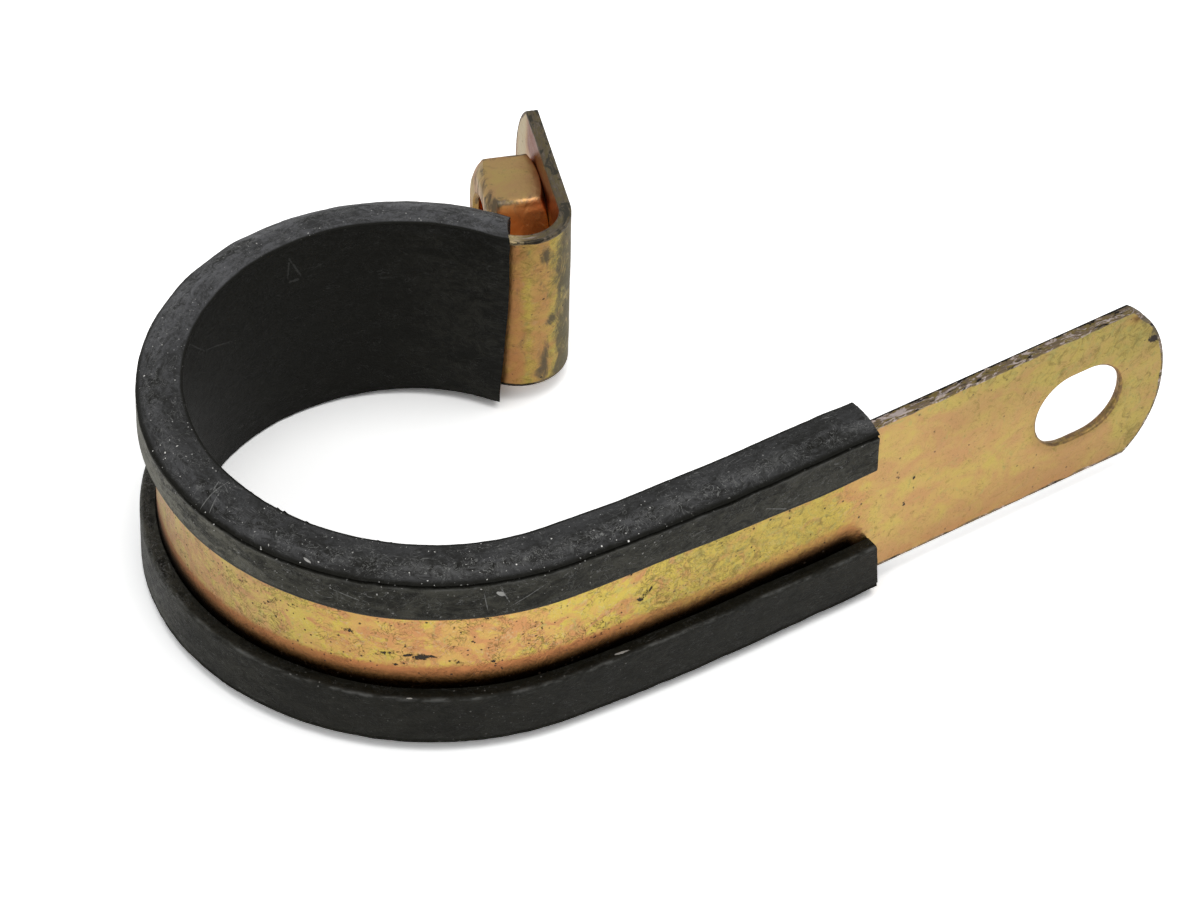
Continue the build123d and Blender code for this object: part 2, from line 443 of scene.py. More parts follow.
def linerMarks(along, across, out):
    # Where the rubber is worn, light, dusty or dark, point by point, by the places on the plain section
    top = fade(across, 7.6, 8.3)
    onInside = out < insideFace + 0.03
    # The worn band lies a millimetre in from the rim's foot, most of it at the front and right
    bandPlace = bell(out - lipOutside + 1.15, 0.62) * top
    rimWear = bandPlace * (1.0 - 0.75 * fade(along, 66, 84) + 0.35 * fade(along, 100, 115))
    rimWear = rimWear * (1 - 0.5 * fall(along, 32, 40))
    rimWear = rimWear + 0.5 * (1 - top) * (out > 0.5) * span(along, 84, 93, 108, 116)
    # Light lines of wear and painted highlight run along both edges of the upper lip and along the lower lip's
    # free edge
    lipTop = np.hypot(out - lipOutside, across - rimFoot + liner["creaseHeight"])
    lowLipTop = np.hypot(out - lipOutside + 0.12, across + crown - liner["lowerLip"] + 0.12)
    upLipLow = np.hypot(out - lipOutside + 0.05, across - crown + liner["upperLip"] - 0.3)
    arris = np.maximum(0.8 * bell(lipTop, 0.18), bell(lowLipTop, 0.15))
    arris = np.maximum(arris, 0.6 * bell(upLipLow, 0.14))
    # Painted light and shade, as how grey each face is: the upper rim most, more so at the back of the loop
    # where it catches a sheen, the upper lip more at the loop's left, the inside face least
    lipFace = (across > 0) & ~onInside
    leftLip = (0.25 * fade(along, 76, 84) + 0.75 * fade(along, 85, 93)) * fall(along, 108, 116)
    level = 0.05 + lipFace * (0.17 + 1.80 * leftLip * (1 - top))
    rimLevel = 0.26 + 0.07 * bandPlace + 0.36 * fade(along, 92, 112) - 0.03 * fall(along, 34, 44)
    level = level * (1 - top) + rimLevel * top + 0.24 * leftLip * (across < 0)
    # Painted shade: the inside face is darkest, a little lighter towards each end
    insideLevel = 0.010 + 0.040 * fall(along, 80, 94) + 0.05 * fade(along, 128, 138)
    level = np.where(onInside, insideLevel, level)
    unevenness = np.where(onInside, 2.0, 1.0 - 0.4 * top * (1 - bandPlace))
    # Dust lies on the rim most, and little of it inside the loop and below
    dust = (0.35 + 0.65 * fade(across, 6.0, 8.0)) * np.where(onInside, 0.08, 1.0)
    dust = dust * np.where(across < 0, 0.4, 1.0)
    dust = dust * (1 - 0.5 * fade(along, 96, 110)) * (1 - 0.8 * fall(along, 42, 52))
    # Painted shade: dark lines along the inner edge and in the crease
    innerLine = np.hypot(out - insideFace, across - crown + liner["innerDrop"])
    underCrease = np.hypot((out - lipOutside + liner["creaseDepth"]) / 1.5, across - rimFoot + 0.08)
    lineDark = bell(innerLine, 0.22) + bell(underCrease, 0.33)
    # The top carries a painted reflection of the sky, as a cooler grey
    return {"rimWear": rimWear, "dust": dust, "arris": arris, "level": level,
            "lineDark": np.clip(lineDark, 0, 1), "coolness": top, "unevenness": unevenness}


def buildLiner():
    outerTop, grooveTop, edgeTop = halfSection(liner["upperLip"], liner["creaseDepth"])
    outerLow, grooveLow, edgeLow = halfSection(liner["lowerLip"], liner["lowCreaseDepth"])
    mirror = np.array([1.0, -1.0])
    outer = np.concatenate((outerTop, outerLow[::-1][1:] * mirror))
    groove = np.concatenate((grooveTop, grooveLow[::-1][1:] * mirror))
    section = np.concatenate((outer, edgeLow * mirror, groove[::-1], edgeTop[::-1]))
    size = len(section)
    ladder = len(outer)

    lineEnd = sum(length for length, turn in runs[:4]) + clip["bendRadius"] * math.radians(liner["overrun"])
    # Rows at an even step, with a few close ones round each nub of flash on the inner edge
    evenRows = np.linspace(liner["start"], lineEnd, int((lineEnd - liner["start"]) / liner["rowStep"]))
    nubRows = np.array([place + step for place, height in nubs for step in (-0.16, -0.06, 0.0, 0.06, 0.16)])
    evenRows = evenRows[np.min(np.abs(evenRows[:, None] - nubRows), 1) > 0.05]
    rows = np.sort(np.concatenate((evenRows, nubRows)))
    rowCount = rows.size
    share = ((rows - liner["start"]) / (lineEnd - liner["start"]))[:, None]
    out, across = section.T
    # The cut at the tab is square above and further out below. The far cut leans over the bend.
    lean, lowLean = liner["tabCutLean"]
    cutStart = liner["start"] - lean * fade(-across, 1.5, 4.0) - lowLean * fade(-across, 3.5, 9.0)
    cutStart = cutStart + liner["cutWave"] * ripples(out * 3, across, 1.3, 11)
    lean, lowLean = liner["farCutLean"]
    cutEnd = lineEnd - 0.25 + lean * (lipOutside - out) - lowLean * fade(-across, -4.0, 9.0)
    cutEnd = cutEnd + liner["cutWave"] * ripples(out * 3, across, 1.3, 12)
    along = cutStart + (cutEnd - cutStart) * share

    # Lips vary in depth along the clip, the rims in height, and the skin is slightly uneven
    upper = across > 0
    lipEnd = np.where(upper, crown - liner["upperLip"], crown - liner["lowerLip"])
    lipWeight = fade(out, -0.2, 0.0) * fall(np.abs(across), lipEnd + 0.3, rimFoot - liner["creaseHeight"])
    lipShift = np.where(upper, -lipGrowth(along), 0.22 * fall(along, 29, 42))
    lipShift = lipShift + liner["lipWave"] * ripples(along, 0.0, 9.0, 21) * np.where(upper, 1.0, -1.0)
    rimWeight = fade(np.abs(across), rimFoot - 0.1, crown - 0.2)
    rimShift = -0.05 - liner["rimWave"] * ripples(along, across * 0.4, 12.0, 22)
    rimShift = rimShift - np.where(upper, 0.22 * fall(along, 29, 33), liner["farLift"] * fade(along, 118, 139))
    coarse, fine = liner["skinWave"]
    skin = coarse * ripples(along, across + out, 3.5, 23) + fine * ripples(along, across + out, 0.9, 24)
    outerSkin = np.zeros(size)
    outerSkin[:ladder] = 1.0
    inCrease = bell(np.abs(across) - rimFoot + 0.18, 0.30) * (out > lipOutside - 0.5)
    coarse, fine = liner["creaseWave"]
    creaseShift = coarse * ripples(along, 0.0, 4.0, 25) + fine * ripples(along, 0.0, 1.1, 26)
    lengthen = lipShift * lipWeight + rimShift * rimWeight + creaseShift * inCrease
    acrossNow = across + np.sign(across) * lengthen
    outNow = out + np.where(out > 0, -1.0, 1.0) * np.abs(skin) * outerSkin
    outNow = np.minimum(outNow, lipOutside)

    # Nubs of flash stand up on the inner top edge
    innerEdge = np.hypot(out - insideFace, across - crown + liner["innerDrop"])
    nearEdge = bell(innerEdge, nubReach[1])
    for place, height in nubs:
        acrossNow = acrossNow + height * bell(along - place, nubReach[0]) * nearEdge * outerSkin
    acrossNow = np.clip(acrossNow, -crown, crown)

    sheet = np.stack((along, acrossNow, outNow), -1)
    quads = gridFaces(rowCount, size, 0, closeColumns=True).tolist()
    ring = np.arange(size)
    outerRing = ring[:ladder]
    grooveRing = ring[ladder + len(edgeLow):ladder + len(edgeLow) + ladder][::-1]
    rungs = np.stack((outerRing[:-1], outerRing[1:], grooveRing[1:], grooveRing[:-1]), -1)
    lowEdge = [outerRing[-1], *ring[ladder:ladder + len(edgeLow)], grooveRing[-1]]
    topEdge = [outerRing[0], grooveRing[0], *ring[-len(edgeTop):]]
    for first in (0, (rowCount - 1) * size):
        quads += (rungs + first).tolist()
        quads += [[int(i) + first for i in lowEdge], [int(i) + first for i in topEdge]]

    sheetFlat = sheet.reshape(-1, 3)
    flatAlong = sheetFlat[:, 0]
    restAcross = np.broadcast_to(across, along.shape).ravel()
    restOut = np.broadcast_to(out, along.shape).ravel()
    # The skin's own coordinates: along the clip, and the way round the section
    around = np.concatenate(([0], np.cumsum(np.hypot(*np.diff(section, axis=0).T))))
    skinFlat = np.stack((flatAlong, np.broadcast_to(around, along.shape).ravel(), flatAlong * 0), -1)
    layers = {"skin": skinFlat, **linerMarks(flatAlong, restAcross, restOut)}
    addPiece("rubber_channel", bendSheet(sheetFlat), quads, layers, 38, "rubber_liner",
             rubberMaterial())


buildLiner()


# Yellow zinc plating: gold that runs into yellow, orange and green, with wrinkles, dark pits and
# grey-brown cut edges.
plating = {
    "gold": (0.63, 0.385, 0.125),
    "yellow": (0.62, 0.475, 0.10),
    "orange": (0.58, 0.275, 0.120),
    "pale": (0.66, 0.52, 0.29),
    "green": (0.43, 0.42, 0.145),
    "olive": (0.24, 0.18, 0.05),
    "shadeFilm": (0.49, 0.20, 0.080),
    "brown": (0.15, 0.072, 0.026),
    "black": (0.012, 0.005, 0.001),
    "pit": (0.030, 0.018, 0.009),
    "stain": (0.115, 0.105, 0.080),
    "edge": (0.21, 0.155, 0.105),
    "edgeDark": (0.024, 0.021, 0.018),
    "edgeBright": (0.58, 0.49, 0.46),
    "roughness": 0.33,
}


def platingMaterial(name, spots, reflectionColour):
    look = plating
    n = Nodes(name)
    place = n.attribute("sheet", "Vector")
    skin = n.attribute("skin", "Vector")
    tint, shade, stain, ember, grime, pale, calm = n.attributes("tint shade stain ember grime pale calm")
    # Where the plating is calm, its noises lose their fine detail and the marks on it are fewer
    lively = n.linear(calm, -0.85, 1.0)
    grain = n.linear(calm, -0.20, 0.68)
    swirl = n.linear(calm, -1.6, 2.2)
    soft = n.times(calm, 0.10)
    # Clouds of colour at three sizes. The tint moves the whole plating towards orange, or towards olive.
    clouds = n.noise(n.stretched(place, (0.7, 1.0, 1.0)), 4.5, 4.0, 0.6, 0.8)
    mottle = n.noise(place, 1.9, 8.0, grain, n.times(swirl, 0.6))
    fleck = n.noise(place, 0.60, 6.0, 0.70, 1.0)
    crumple = n.noise(place, 0.95, 5.0, 0.60, 3.0)
    flecked = n.times(n.maths("ADD", fleck, -0.5), n.times(lively, 0.35))
    yellowness = n.maths("ADD", flecked, n.linear(clouds, 0.55, mottle))
    yellowness = n.linear(tint, -0.13, yellowness)
    yellowed = n.ramp(yellowness, n.maths("SUBTRACT", 0.67, soft), n.maths("ADD", soft, 0.86))
    colour = n.blend(yellowed, look["gold"], look["yellow"])
    orangeness = n.noise(n.stretched(place, (0.8, 1.0, 1.0)), 3.0, 5.0, 0.58, swirl)
    folds = n.times(n.maths("ADD", crumple, -0.5), n.times(lively, 0.35))
    orangeness = n.linear(tint, 0.11, n.maths("ADD", folds, orangeness))
    reddened = n.ramp(orangeness, n.maths("SUBTRACT", 0.47, soft), n.maths("ADD", soft, 0.64), 0.0, 0.9)
    colour = n.blend(reddened, colour, look["orange"])
    paleness = n.times(n.ramp(crumple, 0.50, 0.66), n.ramp(mottle, 0.42, 0.60))
    # Pale patches, and the painted highlights that the pale attribute marks
    colour = n.blend(n.either(n.times(n.times(paleness, 0.55), lively), pale), colour, look["pale"])
    greenness = n.linear(tint, -0.09, n.noise(place, 1.5, 6.0, grain, 2.2))
    greened = n.ramp(greenness, 0.55, n.maths("ADD", soft, 0.68), 0.0, 0.62)
    colour = n.blend(greened, colour, look["green"])
    folded = n.ramp(n.linear(grime, 0.16, n.noise(place, 2.6, 3.0)), 0.42, 0.60, 0.06, 0.9)
    wrinkles = n.times(n.times(n.strands(place, 1.25, 0.034, 2.6), folded), lively)
    colour = n.blend(n.times(wrinkles, 0.85), colour, look["olive"])
    dirt = n.linear(tint, -0.03, n.noise(place, 0.9, 7.0, 0.76, 1.2))
    dirt = n.linear(calm, -0.065, n.linear(grime, 0.085, dirt))
    colour = n.blend(n.ramp(dirt, 0.54, 0.74, 0.0, 0.85), colour, look["olive"])
    # Grime, and the painted shade inside the mouth, turn the plating towards olive
    colour = n.blend(n.times(grime, 0.28), colour, look["olive"])
    # Painted reflection: the orange of the nut and of the bend
    colour = n.blend(n.times(ember, n.ramp(mottle, 0.25, 0.60, 1.0, 0.86)), colour, reflectionColour)
    # Pits and specks, thicker in patches, dark stains, and the large chips
    wander = n.wandered(skin, 0.14)
    patches = n.ramp(n.noise(place, 3.4, 4.0, 0.6), 0.42, 0.60, 0.10, 1.0)
    fine = n.times(n.times(n.dots(wander, 0.52, 0.080, 0.42, 1), patches), lively)
    coarse = n.times(n.dots(wander, 1.7, 0.115, 0.34, 2), n.ramp(lively, 0.1, 0.5, 0.25, 1.0))
    ragged = n.noise(place, 0.22, 5.0, 0.78)
    chip = n.marks(place, spots, ragged)
    # Flaked patches: small ragged pits that lie close together where the attribute says
    flaked = n.linear(ragged, 2.2, n.times(n.attribute("flaked"), 0.75))
    pits = n.either(n.times(n.either(fine, coarse), 0.85), n.either(chip, n.ramp(flaked, 1.62, 1.78)))
    streaks = n.noise(n.stretched(place, (1.0, 0.42, 1.0)), 1.05, 7.0, 0.76, 1.0)
    stained = n.ramp(n.linear(stain, 0.42, n.maths("ADD", streaks, -0.5)), 0.14, 0.40)
    colour = n.blend(n.times(stained, 0.82), colour, look["stain"])
    # Dirt, with a painted shade and a painted reflection of the black lip: a film that turns orange, then
    # brown, then black beside the liner's lower lip
    shadeFilm = n.linear(n.maths("SUBTRACT", crumple, 0.5), 0.30, shade)
    shadeFilmed = n.times(n.ramp(shadeFilm, 0.03, 0.26), n.linear(grime, -0.55, 0.95))
    colour = n.blend(shadeFilmed, colour, look["shadeFilm"])
    colour = n.blend(n.ramp(shadeFilm, 0.25, 0.66), colour, look["brown"])
    colour = n.blend(n.ramp(shadeFilm, 0.53, 0.86), colour, look["black"])
    colour = n.blend(pits, colour, look["pit"])
    # Cut edges: the plating is worn to grey-brown, blackened in places and polished in others, with painted
    # glints
    nearEdge = n.attribute("cutEdge")
    wornEdge = n.ramp(n.linear(mottle, 0.9, n.maths("ADD", nearEdge, -0.46)), 0.66, 0.84)
    along = n.stretched(skin, (0.40, 1.0, 1.0))
    broken = n.noise(along, 0.45, 6.0, 0.70, 1.2)
    edgeColour = n.blend(n.ramp(broken, 0.44, 0.54, 0.75, 0.0), look["edge"], look["olive"])
    glints = n.ramp(n.noise(along, 0.42, 5.0, 0.66, 1.2), 0.50, 0.60)
    glints = n.times(glints, n.ramp(stain, 0.2, 0.5, 0.95, 0.2))
    edgeColour = n.blend(glints, edgeColour, look["edgeBright"])
    # A painted highlight on the bend's upper edge, beside the liner's end
    gleam = n.attribute("gleam")
    depth = n.add("SeparateXYZ", {"Vector": place}, 2)
    backArris = n.times(n.ramp(depth, -0.66, -0.88), n.ramp(stain, 0.2, 0.5, 1.0, 0.0))
    darkness = n.linear(backArris, 0.17, n.noise(along, 0.90, 6.0, 0.70, 1.0))
    edgeColour = n.blend(n.ramp(darkness, 0.54, 0.61), edgeColour, look["edgeDark"])
    edgeColour = n.blend(n.times(n.ramp(stain, 0.2, 0.6), 0.55), edgeColour, look["stain"])
    edgeColour = n.blend(n.times(gleam, n.ramp(broken, 0.36, 0.52)), edgeColour, look["pale"])
    colour = n.blend(wornEdge, colour, edgeColour)
    dull = n.either(n.either(pits, n.times(stained, 0.7)), n.times(wornEdge, 0.55))
    roughness = n.linear(crumple, 0.22, look["roughness"] - 0.11)
    roughness = n.linear(dull, 0.35, roughness)
    height = n.linear(pits, -0.9, n.times(fleck, 0.5))
    height = n.linear(wrinkles, -0.35, height)
    height = n.linear(n.times(wornEdge, broken), 1.4, height)
    metal = n.linear(pits, -0.85, 1.0)
    normal = n.bump(height, 0.05, n.times(lively, 0.9), n.bump(mottle, 0.12, 0.8))
    return n.surface({"Base Color": colour, "Metallic": metal, "Roughness": roughness, "Normal": normal})


# Steel strip: one blank with rounded ends, an oval slot in the tab and a round hole in the ear.
strip = {
    "endRadius": 9.5,
    "slotInset": 8.4,
    "slotLength": 8.2,
    "slotWidth": 6.6,
    "holeInset": 8.7,
    "holeWidth": 6.6,
    "ringLength": 16.5,        # of each end, meshed as rings round its opening
    "ringRows": 24,
    "endPoints": 72,
    "sidePoints": 40,
    "columns": 56,
    "rowStep": 0.36,
    "edgeRounding": 0.15,
    "slotRounding": 0.30,
    "punchFlare": 0.34,        # how much wider each opening breaks out at the back
    "askew": 0.42,
    "edgeChatter": 0.05,
    "faceWave": 0.02,
    "ember": (0.23, 0.034, 0.009),
    "openingReach": 4.3,       # from an opening's axis, past its walls
    "openingWalls": {"tint": -0.3, "stain": 0.68, "grime": 1.2, "shade": 0.26},
}
# Chips in the plating, as (along, across, half length, half width, slope in degrees)
chips = [
    (67.3, -0.45, 0.62, 0.27, -4), (68.3, -0.32, 0.42, 0.13, -8), (66.5, -0.38, 0.36, 0.12, 12),
    (69.2, -1.35, 0.16, 0.13, 0), (61.9, -1.3, 0.17, 0.14, 0), (49.7, 0.25, 0.30, 0.17, 38),
    (1.30, 3.55, 0.62, 0.36, 24), (48.8, 0.95, 0.26, 0.10, -58), (45.2, 3.6, 0.30, 0.15, 30),
    (24.4, 0.3, 0.13, 0.16, 10),
]
# Flaked patches in the plating, as (along, across, half length, half width, slope in degrees)
flakes = [
    (69.9, -0.25, 1.70, 0.26, -16), (64.5, -1.10, 0.60, 0.26, 30), (62.4, 3.15, 0.55, 0.20, -5),
    (49.3, 0.60, 0.80, 0.30, -45), (53.9, -1.75, 1.60, 0.16, 8), (50.6, 3.40, 0.45, 0.45, 0),
    (79.3, 1.70, 1.60, 0.24, -38), (82.0, 2.20, 1.00, 0.20, -30), (77.4, 2.2, 0.7, 0.22, -20),
    (26.0, 1.10, 0.40, 0.22, 50), (25.2, -2.0, 0.35, 0.35, 0), (72.8, 1.4, 0.7, 0.35, 20),
]


def openingReach(direction, length, width):
    # Distance from an oval's centre to its wall in a direction: the flat sides are half a width off the
    # axis, and beyond them the wall is a half circle about a point half the straight length away.
    flatHalf = (length - width) / 2
    radius = width / 2
    cosine = np.abs(np.cos(direction))
    sine = np.abs(np.sin(direction))
    onFlat = cosine * radius < flatHalf * sine
    flatReach = radius / np.maximum(sine, 1e-9)
    roundReach = flatHalf * cosine + np.sqrt(np.maximum(radius**2 - (flatHalf * sine) ** 2, 0))
    return np.where(onFlat, flatReach, roundReach)


def edgeDistance(along, across):
    # Distance in from the nearest cut edge of the flat blank: sides, round ends, slot and hole.
    distance = halfWidth - np.abs(across)
    for fromTip, inset, length in ((along, strip["slotInset"], strip["slotLength"]),
                                   (lineLength - along, strip["holeInset"], strip["holeWidth"])):
        toCentre = np.hypot(fromTip - strip["endRadius"], across)
        endGap = np.where(fromTip < strip["endRadius"], strip["endRadius"] - toCentre, np.inf)
        flatHalf = (length - strip["slotWidth"]) / 2
        offAxis = np.maximum(np.abs(fromTip - inset) - flatHalf, 0)
        openingGap = np.hypot(offAxis, across) - strip["slotWidth"] / 2
        distance = np.minimum(distance, np.minimum(endGap, openingGap))
    return distance


def endOutline():
    # Outline of one end from its upper side round the tip to its lower side, as (from the tip, across),
    # with the outward step that moves each point by one unit of inset. The corner's step is longer.
    radius = strip["endRadius"]
    cornerAngle = math.asin(halfWidth / radius)
    cornerIn = radius - radius * math.cos(cornerAngle)
    side = np.linspace(strip["ringLength"], cornerIn, strip["sidePoints"])
    arc = np.linspace(cornerAngle, -cornerAngle, strip["endPoints"])[1:-1]
    upper = np.stack((side, np.full(side.shape, halfWidth)), -1)
    tip = np.stack((radius - radius * np.cos(arc), radius * np.sin(arc)), -1)
    points = np.concatenate((upper, tip, upper[::-1] * (1, -1)))
    upperStep = np.tile((0.0, 1.0), (side.size, 1))
    half = math.pi / 4 - cornerAngle / 2
    upperStep[-1] = np.array([-math.sin(half), math.cos(half)]) / math.cos(half)
    tipStep = np.stack((-np.cos(arc), np.sin(arc)), -1)
    steps = np.concatenate((upperStep, tipStep, upperStep[::-1] * (1, -1)))
    return points, steps


def wallPoints(points, steps, rounding, chatterSeed, flare=0.0):
    # The cut wall along an outline: a quarter round off each face and a plain wall between them, pushed in
    # by a little chatter and by a flare that grows with the square of the depth. Returned as
    # (outline, profile, (along, across, outward)).
    quarter = np.linspace(0, math.pi / 2, 5)
    wall = np.linspace(rounding, thickness - rounding, 5)[1:-1]
    inset = np.concatenate((rounding * (1 - np.sin(quarter)), wall * 0, rounding * (1 - np.cos(quarter))))
    backRound = thickness - rounding + rounding * np.sin(quarter)
    depth = np.concatenate((rounding * (1 - np.cos(quarter)), wall, backRound))
    middle = np.sin(np.pi * depth / thickness) ** 2
    run = np.concatenate(([0], np.cumsum(np.hypot(*np.diff(points, axis=0).T))))[:, None]
    chatter = 0.5 + 0.5 * ripples(run, depth * 2.5, 0.9, chatterSeed)
    inset = inset + strip["edgeChatter"] * middle * np.clip(chatter, 0, 1) + flare * (depth / thickness) ** 2
    flat = points[:, None] - steps[:, None] * inset[..., None]
    out = np.broadcast_to(-depth, inset.shape)
    return np.concatenate((flat, out[..., None]), -1)


# Blots inside the mouth, as (along, across) with the reach of each, and the tip's stains with their strength
mouthBlots = [((141.6, 5.8), (0.35, 0.9)), ((141.6, -5.2), (0.35, 2.1)), ((142.0, -1.2), (0.35, 0.5))]
tipStains = [(1.0, (1.2, 4.2), (0.9, 0.9)), (0.7, (2.4, 6.1), (0.8, 0.8)), (0.5, (0.5, 1.5), (0.9, 0.9))]


def plateMarks(along, across, out):
    # Where the plating changes, point by point: sums of fades, spans and bells of the place along and across.
    # Tint runs from -1, olive, to 1, orange. Shade is 1 at the edge of the liner's lower lip and falls to 0
    # above it. Stain is 1 where the plating has gone dark.
    outer = (out > -0.5) * 1.0
    inner = 1 - outer
    mouth = inner * fade(along, 136, 139)
    below = -across
    offMiddle = np.abs(across)
    shoulder = span(along, 28, 33, 44, 54)
    upperTab = span(along, 12, 19, 29, 33) * span(across, -0.5, 2.5, 5.5, 6.5)
    lowerTab = span(along, 6, 12, 34, 40) * fade(below, 3.8, 6.6)
    underSlot = span(along, 3, 7, 13, 19) * fade(below, 1.5, 4.5)
    olive = fall(along, 10, 15) * fade(across, 1.0, 5.0) + 0.5 * fall(along, 3, 7)
    tabEdge = 0.5 * fade(across, 5.2, 6.6) * fall(along, 27, 29)
    front = 0.4 * span(along, 56, 63, 72, 79) + 0.35 * fade(along, 75, 84) - 0.55 * shoulder
    # Inside the mouth the plating lies in upright bands: orange, yellow-green, orange, and grey-green
    wavy = along + 0.13 * ripples(across, 0.0, 3.2, 45) + 0.06 * ripples(across, along, 1.1, 46)
    bands = 0.9 - 1.5 * bell(wavy - 140.6, 0.30) + 0.3 * bell(wavy - 141.3, 0.35)
    upperEdge = crown - liner["upperLip"] - lipGrowth(along)
    besideLip = bell(across - upperEdge, 0.42) * fade(along, 31, 36)
    tint = 0.6 * upperTab + 0.9 * lowerTab + 0.7 * underSlot - 0.7 * olive - tabEdge + front
    tint = outer * (tint + (2.2 + 0.9 * shoulder) * besideLip)
    tint = tint + mouth * (bands - 1.5 * fade(wavy, 141.6, 142.3))
    # A thin film lies on the steel above the lower lip and round its end at the tab: dirt, with a painted
    # shade and a painted reflection of the lip
    lipEdge = -3.55
    overLip = np.clip(1 - (across - lipEdge) / 2.5, 0, 1) * span(along, 28.6, 31.0, 128, 132)
    shade = overLip * (across > -7.3) * outer
    # A brown smear lies by the tip's upper corner, and the tab's lower edge is a little browner
    shade = np.maximum(shade, 0.55 * outer * spot(along, across, (3.2, 6.5), (0.8, 0.5)))
    shade = np.maximum(shade, 0.16 * outer * fade(below, 5.6, 7.2) * span(along, 5, 9, 26, 28))
    # Painted shade darkens the mouth's side nearer the liner, and the ear's tip is a little browner
    shade = shade + 0.24 * mouth * fall(wavy, 139.9, 140.5) + 0.16 * outer * fade(along, 159.3, 160.8)
    stain = inner * (0.66 * fade(wavy, 141.8, 143.1) + 0.24 * fade(along, 138, 140)) * fall(along, 152, 156)
    for centre, reach in mouthBlots:
        stain = stain + 0.8 * inner * spot(along, across, centre, reach)
    stain = stain + 0.25 * inner * span(along, 144.0, 145.4, 147.5, 149)
    earEdge = fade(along, 136.5, 138.5) * fade(offMiddle, halfWidth - 0.5, halfWidth - 0.2)
    stain = np.maximum(stain, (0.32 + 0.28 * fade(along, 140.5, 142.5)) * earEdge)
    for strength, centre, reach in tipStains:
        stain = stain + 0.8 * strength * spot(along, across, centre, reach)
    # Painted reflection: the steel beside the nut and inside the bend mirrors the nut, so it is painted deep
    # orange
    besideNut = span(along, 143, 145.5, 156.2, 157.6) * fade(offMiddle, 3.8, 4.8)
    insideBend = span(along, 138.5, 140.5, 143.5, 145.5)
    ember = outer * np.maximum(0.92 * besideNut, 0.35 * insideBend) * fall(offMiddle, 7.2, 7.45)
    ember = ember + 0.22 * inner * fade(along, 136, 138.5) * fall(wavy, 139.8, 141.0)
    # The steel is dirtier at the shoulder, along the tab's upper edge and at its tip, and painted shade
    # darkens it inside the mouth
    grime = 0.85 * shoulder + 0.15 * span(along, 74, 77, 83, 87) + 0.65 * fall(along, 28, 32)
    grime = grime + 0.55 * fall(along, 18, 25) * fade(across, 1.0, 4.0)
    grime = grime + 0.45 * fall(along, 24, 29) * fade(below, 3.0, 6.0) + 0.35 * fall(along, 3, 6)
    grime = outer * grime + 1.3 * mouth
    # The tab looks paler, and the far left and the ear's tip carry a painted highlight
    pale = outer * (0.18 * fall(along, 27, 32) + 0.24 * fade(along, 73, 82) + 0.8 * fade(along, 156.8, 158.0))
    # The tab is smooth, the shoulder less so, and the rest is crumpled
    calm = 0.38 * fall(along, 25, 33) + 0.44 * fall(along, 36, 54) + 0.7 * fade(along, 138, 141)
    calm = outer * calm + 0.6 * mouth
    flaked = np.zeros(along.shape)
    for spotAlong, spotAcross, halfLength, halfBreadth, slope in flakes:
        cosine, sine = math.cos(math.radians(slope)), math.sin(math.radians(slope))
        ahead = (along - spotAlong) * cosine + (across - spotAcross) * sine
        aside = (across - spotAcross) * cosine - (along - spotAlong) * sine
        flaked = np.maximum(flaked, bell(ahead, halfLength) * bell(aside, halfBreadth))
    # The bend's upper edge catches the light beside the liner's end
    gleam = bell(along - 139.3, 0.8) * fade(across, 7.0, 7.3)
    return {"tint": np.clip(tint, -1.2, 1.3), "shade": shade, "stain": np.clip(stain, 0, 1), "ember": ember,
            "grime": np.clip(grime, 0, 1.4), "pale": np.clip(pale, 0, 1), "flaked": flaked * outer,
            "calm": calm, "gleam": gleam}


